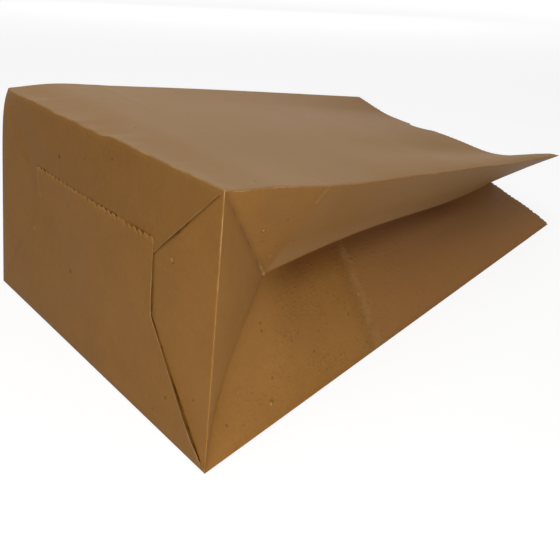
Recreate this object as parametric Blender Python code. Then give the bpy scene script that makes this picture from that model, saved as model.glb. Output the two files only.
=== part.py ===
"""A brown paper lunch bag that lies open on one of its wide panels.

The bag is one sheet of kraft paper: a tube with a gusset on each side, closed at one end by a
folded and glued block bottom. Metres, +Z up, and the mouth faces +Y. The near side is +X.
"""

import math

import bmesh
import bpy
import numpy as np
from mathutils import Vector
from mathutils.geometry import delaunay_2d_cdt

# Sizes of the bag
PANEL_WIDTH = 0.127
GUSSET_DEPTH = 0.0794
BAG_LENGTH = 0.2445
PAPER = 0.0001

# Glued bottom: how far a flap reaches past the middle, and where the lower flap's sides lie
FLAP_OVERLAP = 0.0182
FLAP_SETBACK = 0.0114
FLAP_SHIFT = 0.0022
FLAP_SLANT = math.radians(53)
STRIP_MARGIN = 0.0032

# Cut edge of the mouth and of the lower flap
TOOTH_PITCH = 0.0026
TOOTH_DEPTH = 0.0008
NOTCH_WIDTH = 0.0145
NOTCH_DEPTH = 0.008
NOTCH_OFFSET = 0.016

# How the bag lies: the bottom leans in, the side corners tuck in and the mouth sags
LEAN_NEAR = math.radians(2.6)
LEAN_FAR = math.radians(4.5)
TUCK_NEAR = math.radians(26.5)
TUCK_FAR = math.radians(12)
DROP_NEAR = math.radians(11.7)
DROP_FAR = math.radians(3.8)
MOUTH_HEIGHT_NEAR = 0.0389
MOUTH_HEIGHT_FAR = 0.0465
MOUTH_SHIFT = 0.0022
MOUTH_CURL = 0.0022
CREASE_OFFSET = 0.0009
FOLD_ASKEW = 0.0055
TROUGH_DEPTH = 0.008
WAVE_DEPTH = 0.0035
WAVE_PLACE = 0.034
WAVE_WIDTH = 0.009
CORNER_PRESS = 0.0025
CORNER_PRESS_REACH = 0.007
EDGE_SAG = 0.0008
CREASE_WAVE = 0.0015
LOWER_BOW = 0.0008

# Mesh density
PANEL_COLUMNS = 16
HALF_GUSSET_COLUMNS = 4
LONG_ROWS = 7
NOTCH_STEPS = 10

HALF_GUSSET = GUSSET_DEPTH / 2
CREASE_TO_MOUTH = BAG_LENGTH - HALF_GUSSET
RIM = NOTCH_DEPTH * 1.5
AROUND = 2 * (PANEL_WIDTH + GUSSET_DEPTH)
FLAP_REACH = HALF_GUSSET + FLAP_OVERLAP
FLAP_INSET = HALF_GUSSET - FLAP_SETBACK


def clear_scene():
    """Remove every object that is already in the file."""
    for thing in list(bpy.data.objects):
        bpy.data.objects.remove(thing, do_unlink=True)


class Side:
    """The corner points of one gusset, for the near side (+1) or the far side (-1)."""

    def __init__(self, sign, lean, tuck, drop, mouth_height, askew):
        edge = sign * PANEL_WIDTH / 2
        up = Vector((0, math.sin(lean), math.cos(lean)))
        ahead = Vector((0, math.cos(lean), -math.sin(lean)))
        inward = Vector((-sign, 0, 0))
        self.low_base = Vector((edge, -BAG_LENGTH / 2, 0))
        self.low_mouth = Vector((edge, BAG_LENGTH / 2, 0))
        self.top_base = self.low_base + up * GUSSET_DEPTH
        self.mid_base = self.low_base + up * HALF_GUSSET
        self.tuck = self.mid_base + (ahead * math.cos(tuck) + inward * math.sin(tuck)) * HALF_GUSSET
        self.top_crease = self.top_base + Vector((0, math.cos(drop), -math.sin(drop))) * HALF_GUSSET
        fall = self.top_crease.z - mouth_height
        run = math.sqrt((CREASE_TO_MOUTH - askew) ** 2 - fall**2 - MOUTH_SHIFT**2)
        self.top_mouth = self.top_crease + Vector((-MOUTH_SHIFT, run, -fall))
        self.mid_mouth = self.folded_mouth(inward, CREASE_TO_MOUTH - askew / 2)

    def folded_mouth(self, inward, crease):
        """Where the gusset's middle crease ends at the mouth, from the lengths of the paper."""
        opening = self.top_mouth - self.low_mouth
        along = opening.normalized()
        lower = HALF_GUSSET - MOUTH_CURL - CREASE_OFFSET
        upper = HALF_GUSSET - MOUTH_CURL + CREASE_OFFSET
        foot = (opening.length_squared + lower**2 - upper**2) / (2 * opening.length)
        middle = self.low_mouth + along * foot
        radius = math.sqrt(lower**2 - foot**2)
        back = self.tuck - middle
        flat_back = back - along * back.dot(along)
        ahead = flat_back.normalized()
        side = along.cross(ahead)
        if side.dot(inward) < 0:
            side.negate()
        cosine = radius**2 + back.length_squared - crease**2
        cosine = cosine / (2 * radius * flat_back.length)
        cosine = max(-0.9, min(0.9, cosine))
        return middle + (ahead * cosine + side * math.sqrt(1 - cosine**2)) * radius

    def top_edge(self, r):
        """Point on the fold between the top panel and the gusset, r from the bottom."""
        if r <= HALF_GUSSET:
            return self.top_base.lerp(self.top_crease, r / HALF_GUSSET)
        share = (r - HALF_GUSSET) / CREASE_TO_MOUTH
        point = self.top_crease.lerp(self.top_mouth, share)
        point.z -= EDGE_SAG * math.sin(math.pi * math.sqrt(share))
        return point

    def low_edge(self, r):
        """Point on the fold between the lower panel and the gusset."""
        return self.low_base.lerp(self.low_mouth, r / BAG_LENGTH)

    def middle_crease(self, r):
        """Point on the gusset's middle crease, from the tucked corner to the mouth."""
        share = (r - HALF_GUSSET) / CREASE_TO_MOUTH
        point = self.tuck.lerp(self.mid_mouth, share)
        point.z += CREASE_WAVE * math.sin(2 * math.pi * share)
        return point

    def corner_facet(self, corner, w, r):
        """Point on the triangle between the base corner, the middle of the base edge and the tuck."""
        across = (self.mid_base - corner) * (w - r) / HALF_GUSSET
        return corner + across + (self.tuck - corner) * r / HALF_GUSSET

    def upper_half(self, w, r):
        """Point on the upper half of the gusset, w below its top fold."""
        if w > r:
            return self.corner_facet(self.top_base, w, r)
        if r <= HALF_GUSSET:
            start = self.top_edge(r - w) - self.top_base
            return self.top_base + start + (self.tuck - self.top_base) * w / HALF_GUSSET
        return self.top_edge(r).lerp(self.middle_crease(r), w / HALF_GUSSET)

    def lower_half(self, w, r):
        """Point on the lower half of the gusset, w above its lower fold."""
        if w > r:
            return self.corner_facet(self.low_base, w, r)
        reach = min(r, HALF_GUSSET)
        if reach == 0:
            return self.low_edge(0)
        if r <= HALF_GUSSET:
            inner = self.low_base.lerp(self.tuck, r / HALF_GUSSET)
        else:
            inner = self.middle_crease(r)
        point = self.low_edge(r).lerp(inner, w / reach)
        point.z += LOWER_BOW * math.sin(math.pi * math.sqrt(w / reach)) * r / BAG_LENGTH
        return point


NEAR = Side(1, LEAN_NEAR, TUCK_NEAR, DROP_NEAR, MOUTH_HEIGHT_NEAR, 0.0)
FAR = Side(-1, LEAN_FAR, TUCK_FAR, DROP_FAR, MOUTH_HEIGHT_FAR, FOLD_ASKEW)


def lower_panel(u, r):
    """Point on the lower panel, u from the far fold."""
    return FAR.low_edge(r).lerp(NEAR.low_edge(r), u / PANEL_WIDTH)


def top_panel(u, r):
    """Point on the top panel, u from the near fold. It sags towards the mouth."""
    point = NEAR.top_edge(r).lerp(FAR.top_edge(r), u / PANEL_WIDTH)
    share = max(0.0, (r - HALF_GUSSET) / CREASE_TO_MOUTH)
    across = max(0.0, math.sin(math.pi * u / PANEL_WIDTH))
    wave = math.exp(-(((u - WAVE_PLACE) / WAVE_WIDTH) ** 2) / 2)
    point.z -= (TROUGH_DEPTH * across**0.8 + WAVE_DEPTH * wave) * share**1.3
    return point


def tube_point(u, r):
    """Point on the outer face of the tube, u around it from the far lower fold and r from the bottom."""
    u = u % AROUND
    if u <= PANEL_WIDTH:
        return lower_panel(u, r)
    u -= PANEL_WIDTH
    if u <= HALF_GUSSET:
        return NEAR.lower_half(u, r)
    if u <= GUSSET_DEPTH:
        return NEAR.upper_half(GUSSET_DEPTH - u, r)
    u -= GUSSET_DEPTH
    if u <= PANEL_WIDTH:
        return top_panel(u, r)
    u -= PANEL_WIDTH
    if u <= HALF_GUSSET:
        return FAR.upper_half(u, r)
    return FAR.lower_half(GUSSET_DEPTH - u, r)


def base_point(u, v, level):
    """Point on the bottom, u from the far edge, v from the lower edge, and level sheets outwards."""
    low = FAR.low_base.lerp(NEAR.low_base, u / PANEL_WIDTH)
    top = FAR.top_base.lerp(NEAR.top_base, u / PANEL_WIDTH)
    outwards = (NEAR.low_base - FAR.low_base).cross(top - low).normalized()
    return low.lerp(top, v / GUSSET_DEPTH) + outwards * PAPER * level


def column_lines():
    """The lines of the mesh that run along the tube, as distances around it."""
    lines = []
    start = 0.0
    for width, count in ((PANEL_WIDTH, PANEL_COLUMNS), (GUSSET_DEPTH, 2 * HALF_GUSSET_COLUMNS)) * 2:
        lines += [start + width * step / count for step in range(count)]
        start += width
    return lines + [start]


def row_lines():
    """The lines of the mesh that run around the tube: close near the bottom, then wider."""
    rows = [HALF_GUSSET * step / HALF_GUSSET_COLUMNS for step in range(HALF_GUSSET_COLUMNS + 1)]
    long_part = BAG_LENGTH - RIM - HALF_GUSSET
    return rows + [HALF_GUSSET + long_part * (step + 1) / LONG_ROWS for step in range(LONG_ROWS)]


def teeth_between(start, end):
    """Distances of the tips and roots of whole teeth between two lines, ends included."""
    count = max(1, round((end - start) / TOOTH_PITCH))
    return [start + (end - start) * step / (2 * count) for step in range(2 * count + 1)]


def mouth_cut(start, end):
    """The cut edge between two column lines, as pairs of distances around and along the tube."""
    centre = PANEL_WIDTH * 1.5 + GUSSET_DEPTH + NOTCH_OFFSET
    half = NOTCH_WIDTH / 2
    root = BAG_LENGTH - TOOTH_DEPTH
    cut = {}
    for index, u in enumerate(teeth_between(start, end)):
        if abs(u - centre) > half:
            cut[u] = BAG_LENGTH if index % 2 else root
    for step in range(NOTCH_STEPS + 1):
        u = centre - half * math.cos(math.pi * step / NOTCH_STEPS)
        if start < u < end:
            cut[u] = root - NOTCH_DEPTH * math.sin(math.pi * step / NOTCH_STEPS)
    for u in (start, end):
        if abs(u - centre) <= half:
            cut[u] = root - NOTCH_DEPTH * math.sqrt(1 - ((u - centre) / half) ** 2)
    return sorted(cut.items())


def tube_vertex(bm, made, u, r):
    """The mesh vertex at a place on the tube, made once."""
    key = (round(u, 7) % round(AROUND, 7), round(r, 7))
    if key not in made:
        made[key] = bm.verts.new(tube_point(u, r))
    return made[key]


def rim_vertices(bm, made, between, left, right):
    """The vertices of the cut edge from one column line to the next, on a straight line across."""
    cut = mouth_cut(left, right)
    first = tube_vertex(bm, made, *cut[0])
    last = tube_vertex(bm, made, *cut[-1])
    middle = []
    for u, r in cut[1:-1]:
        share = (u - left) / (right - left)
        vert = bm.verts.new(tube_point(left, r).lerp(tube_point(right, r), share))
        between[vert] = (first, last, share)
        middle.append(vert)
    return [first, *middle, last]


def add_tube(bm, made):
    """Outer face of the tube: a grid that is split along the diagonal creases, and the cut rim.

    Returns the rim's vertices that lie between two column lines, each with its neighbours there.
    """
    between = {}
    columns = column_lines()
    rows = row_lines()
    for left, right in zip(columns, columns[1:]):
        for low, high in zip(rows, rows[1:]):
            corners = [(left, low), (left, high), (right, high), (right, low)]
            verts = [tube_vertex(bm, made, u, r) for u, r in corners]
            rising = on_crease(left, low) and on_crease(right, high)
            falling = on_crease(right, low) and on_crease(left, high)
            if rising:
                bm.faces.new((verts[0], verts[1], verts[2]))
                bm.faces.new((verts[0], verts[2], verts[3]))
            elif falling:
                bm.faces.new((verts[0], verts[1], verts[3]))
                bm.faces.new((verts[1], verts[2], verts[3]))
            else:
                bm.faces.new(verts)
        rim = rim_vertices(bm, made, between, left, right)
        back = [tube_vertex(bm, made, right, rows[-1]), tube_vertex(bm, made, left, rows[-1])]
        bm.faces.new(back + rim)
    return between


def on_crease(u, r):
    """True on the diagonal creases from the bottom's corners to the tucked corners."""
    if r > HALF_GUSSET + 1e-7:
        return False
    for fold in (PANEL_WIDTH, PANEL_WIDTH + GUSSET_DEPTH, 2 * PANEL_WIDTH + GUSSET_DEPTH, AROUND):
        if abs(abs(u - fold) - r) < 1e-7:
            inside = PANEL_WIDTH <= u <= PANEL_WIDTH + GUSSET_DEPTH
            return inside or u >= 2 * PANEL_WIDTH + GUSSET_DEPTH
    return False


def base_ring(made):
    """The tube's vertices at the bottom, each with its place in the bottom's own plane."""
    ring = {}
    for u in column_lines()[:-1]:
        vert = made[round(u, 7), 0.0]
        if u <= PANEL_WIDTH:
            place = (u, 0.0)
        elif u <= PANEL_WIDTH + GUSSET_DEPTH:
            place = (PANEL_WIDTH, u - PANEL_WIDTH)
        elif u <= 2 * PANEL_WIDTH + GUSSET_DEPTH:
            place = (2 * PANEL_WIDTH + GUSSET_DEPTH - u, GUSSET_DEPTH)
        else:
            place = (0.0, AROUND - u)
        ring[place] = vert
    return ring


def inner_offset(vert):
    """How far a vertex moves so that every face next to it moves in by one sheet."""
    normals = np.array([face.normal for face in vert.link_faces])
    pull = 0.02 * np.eye(3)
    matrix = np.vstack((normals, pull))
    target = np.concatenate((np.full(len(normals), -PAPER), np.zeros(3)))
    return Vector(np.linalg.lstsq(matrix, target, rcond=None)[0])


def add_inner_faces(bm, between, bottom_ring):
    """Copy the outer faces one sheet further in, and close the cut edge. Returns the inner vertices."""
    plain_bottom = bm.faces.new(bottom_ring)
    bm.normal_update()
    offsets = {vert: inner_offset(vert) for vert in bm.verts if vert not in between}
    for vert, (left, right, share) in between.items():
        offsets[vert] = offsets[left].lerp(offsets[right], share)
    bm.faces.remove(plain_bottom)
    bmesh.ops.triangulate(bm, faces=bm.faces[:], quad_method="FIXED")
    outer_faces = list(bm.faces)
    rim = [edge for edge in bm.edges if edge.is_boundary and not set(edge.verts) <= set(bottom_ring)]
    inner = {vert: bm.verts.new(vert.co + offset) for vert, offset in offsets.items()}
    for edge in rim:
        face = edge.link_faces[0]
        start, end = edge.verts
        loop = next(item for item in face.loops if item.vert == start)
        if loop.link_loop_next.vert == end:
            start, end = end, start
        bm.faces.new((start, end, inner[end], inner[start]))
    for face in outer_faces:
        bm.faces.new([inner[vert] for vert in reversed(face.verts)])
    return inner


def lower_flap():
    """Outline of the lower flap: slanted sides, then straight ones up to the toothed edge."""
    far_side = FLAP_INSET + FLAP_SHIFT
    near_side = PANEL_WIDTH - FLAP_INSET + FLAP_SHIFT
    kink = min((FLAP_INSET - FLAP_SHIFT) * math.tan(FLAP_SLANT), FLAP_REACH * 0.9)
    cut = []
    for index, u in enumerate(teeth_between(far_side, near_side)):
        cut.append((u, FLAP_REACH if index % 2 else FLAP_REACH - TOOTH_DEPTH))
    return [(PANEL_WIDTH, 0), (near_side, kink), *reversed(cut), (far_side, kink), (0, 0)]


def upper_flap():
    """Outline of the upper flap, which slants at 45 degrees from the bag's upper corners."""
    far_end = (HALF_GUSSET, HALF_GUSSET)
    near_end = (PANEL_WIDTH - HALF_GUSSET, HALF_GUSSET)
    return [(0, GUSSET_DEPTH), far_end, near_end, (PANEL_WIDTH, GUSSET_DEPTH)]


def inner_strip():
    """The strip of the upper flap that shows inside the bag, between the ends of the side flaps."""
    start = FLAP_REACH
    end = PANEL_WIDTH - FLAP_REACH
    low = STRIP_MARGIN
    high = GUSSET_DEPTH - STRIP_MARGIN
    if end - start < STRIP_MARGIN:
        return []
    return [(start, low), (end, low), (end, high), (start, high), (start, low)]


def inside(point, outline):
    """True when the point lies within the outline."""
    crossings = 0
    for (u1, v1), (u2, v2) in zip(outline, outline[1:] + outline[:1]):
        if (v1 > point[1]) == (v2 > point[1]):
            continue
        if point[0] < u1 + (point[1] - v1) * (u2 - u1) / (v2 - v1):
            crossings += 1
    return crossings % 2 == 1


def bottom_plan(ring):
    """Triangles of the bottom in its own plane, with an edge along every flap's outline.

    Returns the places, the triangles, and which places are on the ring of the tube's vertices.
    """
    points = [Vector(place) for place in ring]
    edges = [(index, (index + 1) % len(ring)) for index in range(len(ring))]
    for outline in (lower_flap(), upper_flap(), inner_strip()):
        first = len(points)
        points += [Vector(place) for place in outline]
        edges += [(first + step, first + step + 1) for step in range(len(outline) - 1)]
    for column in range(1, PANEL_COLUMNS):
        for row in range(1, 2 * HALF_GUSSET_COLUMNS):
            u = PANEL_WIDTH * column / PANEL_COLUMNS
            v = GUSSET_DEPTH * row / (2 * HALF_GUSSET_COLUMNS)
            points.append(Vector((u, v)))
    plan = delaunay_2d_cdt(points, edges, [], 1, 1e-6)
    on_rim = {}
    for index, sources in enumerate(plan[3]):
        rim = [source for source in sources if source < len(ring)]
        if rim:
            on_rim[index] = rim[0]
    return plan[0], plan[2], on_rim


def add_bottom(bm, ring, plan, level_at, flip):
    """One face of the bottom. Each triangle lies at its own level, and a wall joins two levels."""
    places, triangles, on_rim = plan
    made = {}
    levels = {}

    def vertex(index, level):
        if index in on_rim:
            return ring[on_rim[index]]
        if (index, level) not in made:
            made[index, level] = bm.verts.new(base_point(*places[index], level))
        return made[index, level]

    heights = []
    for triangle in triangles:
        middle = sum((places[index] for index in triangle), Vector((0, 0))) / len(triangle)
        heights.append(level_at(middle))
        for index in triangle:
            levels.setdefault(index, set()).add(heights[-1])
    sides = {}
    for triangle, height in zip(triangles, heights):
        verts = [vertex(index, height) for index in triangle]
        bm.faces.new(verts[::-1] if flip else verts)
        for start, end in zip(triangle, list(triangle[1:]) + [triangle[0]]):
            sides.setdefault(frozenset((start, end)), []).append(height)
    for side, meeting in sides.items():
        if len(meeting) == 2 and meeting[0] != meeting[1]:
            start, end = side
            low, high = sorted(meeting)
            rise = [vertex(end, level) for level in sorted(levels[end]) if low <= level <= high]
            fall = [vertex(start, level) for level in sorted(levels[start]) if low <= level <= high]
            wall = list(dict.fromkeys(fall[::-1] + rise))
            if len(wall) > 2:
                bm.faces.new(wall)


def outer_level(place):
    """Sheets between the bottom's lowest outer layer and the layer that shows at a place."""
    if inside(place, lower_flap()):
        return 2
    if inside(place, upper_flap()):
        return 1
    return 0


def inner_level(place):
    """The inner face lies one sheet in, but for the strip between the side flaps."""
    strip = inner_strip()
    return 0 if strip and inside(place, strip) else -1


def press_corner(bm):
    """The bottom's far upper corner is pressed in towards the mouth."""
    corner = FAR.top_base.copy()
    for vert in bm.verts:
        vert.co.y += CORNER_PRESS * math.exp(-(vert.co - corner).length / CORNER_PRESS_REACH)


def paper_material():
    """Plain brown kraft paper."""
    material = bpy.data.materials.new("kraft_paper")
    material.use_nodes = True
    shader = material.node_tree.nodes["Principled BSDF"]
    shader.inputs["Base Color"].default_value = (0.30, 0.185, 0.09, 1)
    shader.inputs["Roughness"].default_value = 0.72
    shader.inputs["Metallic"].default_value = 0.0
    return material


def build_bag():
    """Model the bag as one closed sheet of paper."""
    bm = bmesh.new()
    made = {}
    between = add_tube(bm, made)
    ring = base_ring(made)
    inner = add_inner_faces(bm, between, list(ring.values()))
    plan = bottom_plan(list(ring))
    add_bottom(bm, list(ring.values()), plan, outer_level, False)
    add_bottom(bm, [inner[vert] for vert in ring.values()], plan, inner_level, True)
    press_corner(bm)
    bmesh.ops.recalc_face_normals(bm, faces=bm.faces[:])
    for edge in bm.edges:
        edge.smooth = edge.calc_face_angle(0.0) < math.radians(12)
    for face in bm.faces:
        face.smooth = True
    mesh = bpy.data.meshes.new("paper_bag")
    bm.to_mesh(mesh)
    bm.free()
    mesh.materials.append(paper_material())
    bag = bpy.data.objects.new("paper_bag", mesh)
    bpy.context.scene.collection.objects.link(bag)
    return bag


clear_scene()
build_bag()
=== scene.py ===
"""A brown paper lunch bag, lying open on one of its wide panels under soft studio light.

The bag is one folded sheet. Its places are given on the paper: u is the distance around the tube
from the far lower fold, and r is the distance from the bottom, below zero on the glued flaps.
"""

import math

import bpy
import numpy as np
from mathutils import Matrix, Vector


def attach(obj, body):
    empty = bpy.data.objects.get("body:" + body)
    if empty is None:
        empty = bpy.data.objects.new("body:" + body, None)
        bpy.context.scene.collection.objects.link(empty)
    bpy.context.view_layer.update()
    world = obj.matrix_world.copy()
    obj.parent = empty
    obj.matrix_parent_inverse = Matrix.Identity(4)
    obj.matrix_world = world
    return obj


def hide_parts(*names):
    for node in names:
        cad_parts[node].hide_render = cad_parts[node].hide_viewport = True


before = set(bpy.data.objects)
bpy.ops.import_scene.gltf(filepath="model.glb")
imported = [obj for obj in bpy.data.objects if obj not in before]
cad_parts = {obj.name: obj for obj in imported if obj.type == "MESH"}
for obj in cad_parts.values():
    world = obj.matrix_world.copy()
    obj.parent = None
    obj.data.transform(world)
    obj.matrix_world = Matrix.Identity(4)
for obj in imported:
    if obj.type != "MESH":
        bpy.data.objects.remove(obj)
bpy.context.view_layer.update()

MM = 0.001
UNIT = 0.1
ORIGIN = (0.0, 0.0, 0.0)
FLOOR_REACH = 6.0
WHITE = (1, 1, 1, 1)

# The bag's sizes, as in its source
PANEL_WIDTH = 127 * MM
GUSSET_DEPTH = 79.4 * MM
BAG_LENGTH = 244.5 * MM
PAPER = 0.11 * MM
HALF_GUSSET = GUSSET_DEPTH / 2
CREASE_TO_MOUTH = BAG_LENGTH - HALF_GUSSET
AROUND = 2 * (PANEL_WIDTH + GUSSET_DEPTH)

# The folds that run the length of the tube, as distances around it
NEAR_LOW_FOLD = PANEL_WIDTH
NEAR_CREASE = PANEL_WIDTH + HALF_GUSSET
NEAR_TOP_FOLD = PANEL_WIDTH + GUSSET_DEPTH
FAR_TOP_FOLD = 2 * PANEL_WIDTH + GUSSET_DEPTH
FAR_CREASE = FAR_TOP_FOLD + HALF_GUSSET

# The glued flaps, and how far the upper and the lower one stand out from the bottom's lowest layer
FLAP_OVERLAP = 18.2 * MM
FLAP_SETBACK = 11.4 * MM
FLAP_SHIFT = 2.2 * MM
FLAP_SLANT = math.radians(53)
FLAP_REACH = HALF_GUSSET + FLAP_OVERLAP
FLAP_INSET = HALF_GUSSET - FLAP_SETBACK
SIDE_FLAP_INSET = 1.3 * MM
UPPER_FLAP_LEVEL = 0.15 * MM
LOWER_FLAP_LEVEL = 0.29 * MM

# The cut edge and the thumb notch
TOOTH_DEPTH = 0.8 * MM
TOOTH_UNEVENNESS = 0.75
TOOTH_SEED = 7
NOTCH_DEPTH = 8 * MM
NOTCH_PLACE = 79.5 * MM
NOTCH_COLUMNS = 12
NOTCH_REACH = 34 * MM

# How the bag lies
LEAN_NEAR = math.radians(2.6)
LEAN_FAR = math.radians(4.5)
DROP_NEAR = math.radians(11.7)
DROP_FAR = math.radians(3.8)
MOUTH_HEIGHT_NEAR = 38.9 * MM
MOUTH_HEIGHT_FAR = 46.5 * MM
TUCK_NEAR = math.radians(26.5)
TUCK_FAR = math.radians(12)
LOW_CORNER_TUCK = math.radians(47)
MOUTH_SHIFT = 2.2 * MM
MOUTH_CURL = 2.2 * MM
CREASE_OFFSET = 0.9 * MM
FOLD_ASKEW = 5.5 * MM
CREASE_WAVE = 1.5 * MM
LOWER_BOW = 0.8 * MM
CORNER_PRESS = 2.6 * MM
CORNER_PRESS_REACH = 5.5 * MM
FOLD_RADIUS = 0.5 * MM
FOLD_WAVE_REACH = 7 * MM

# Sag of the mouth's top edge: millimetres from the near fold, and millimetres below a straight line
MOUTH_SAG = ((0, 0), (4, 0.3), (8, 1.5), (12, 2.9), (19, 6.0), (28, 8.8), (36, 9.9), (42, 9.7),
             (50, 8.8), (58, 8.1), (70, 7.5), (95, 6.9), (105, 5.8), (116, 2.9), (122, 1.2), (127, 0))

# Small waves of the folds: millimetres along the fold, and millimetres above a straight line
NEAR_FOLD_WAVES = ((0, 0), (4, -0.4), (12, -0.25), (19, 0.05), (30, -0.3), (40, -0.5), (69, -0.95),
                   (83, -0.7), (108, -0.9), (143, -0.6), (167, -1.05), (190, -0.85), (215, -0.2), (244.5, 0))
FAR_FOLD_WAVES = ((0, 0), (6, 0.4), (14, 0.95), (21, 1.1), (28, 0.75), (40, -0.2), (55, -0.2), (75, 0),
                  (244.5, 0))
BOTTOM_FOLD_WAVES = ((0, 0), (30, 0.1), (44, 0.4), (50.5, 0.3), (53.5, -0.35), (61, -0.3), (67, -0.25),
                     (71, 0.2), (75, 0), (83, -0.1), (93, 0.35), (100, 0.75), (108, 0.25), (117, 0.4), (127, 0))

# Mesh density, the extra lines close by a fold, and what counts as the same place
PANEL_COLUMNS = 104
HALF_GUSSET_COLUMNS = 32
LONG_ROWS = 68
FLAP_ROWS = 24
CLOSE_LINES = (0.35 * MM, 0.8 * MM)
PANEL_CLOSE_LINE = 0.45 * MM
SAME_PLACE = 1e-7


def lerp(start, end, share):
    """Points part of the way from start to end, where share may be one number for each point."""
    share = np.asarray(share, float)[..., None]
    return start + (end - start) * share


def smooth_line(stations, x):
    """A smooth curve through a short list of stations in millimetres, read at x in metres."""
    xs, ys = np.array(stations, float).T
    slopes = np.gradient(ys, xs)
    x = np.clip(np.asarray(x, float) / MM, xs[0], xs[-1])
    index = np.clip(np.searchsorted(xs, x) - 1, 0, len(xs) - 2)
    width = xs[index + 1] - xs[index]
    t = (x - xs[index]) / width
    start = (2 * t**3 - 3 * t**2 + 1) * ys[index] + (t**3 - 2 * t**2 + t) * width * slopes[index]
    end = (3 * t**2 - 2 * t**3) * ys[index + 1] + (t**3 - t**2) * width * slopes[index + 1]
    return (start + end) * MM


def step(low, high, x):
    """Rises smoothly from 0 at low to 1 at high."""
    t = np.clip((np.asarray(x, float) - low) / (high - low), 0, 1)
    return t * t * (3 - 2 * t)


def bump(x, place, width):
    """A smooth hump of height 1."""
    return np.exp(-(((np.asarray(x, float) - place) / width) ** 2))


class Roughness:
    """Smooth random unevenness on the paper, the same each time for the same seed."""

    def __init__(self, seed, across, along):
        self.table = np.random.RandomState(seed).uniform(-1, 1, (97, 89))
        self.across = across
        self.along = along

    def at(self, u, r):
        """Unevenness from -1 to 1 at places on the paper."""
        x = np.asarray(u, float) / self.across + 31.7
        y = np.asarray(r, float) / self.along + 17.3
        ix = np.floor(x).astype(int)
        iy = np.floor(y).astype(int)
        fx = step(0, 1, x - ix)
        fy = step(0, 1, y - iy)

        def corner(dx, dy):
            return self.table[(ix + dx) % 97, (iy + dy) % 89]

        low = corner(0, 0) * (1 - fx) + corner(1, 0) * fx
        high = corner(0, 1) * (1 - fx) + corner(1, 1) * fx
        return low * (1 - fy) + high * fy


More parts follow.
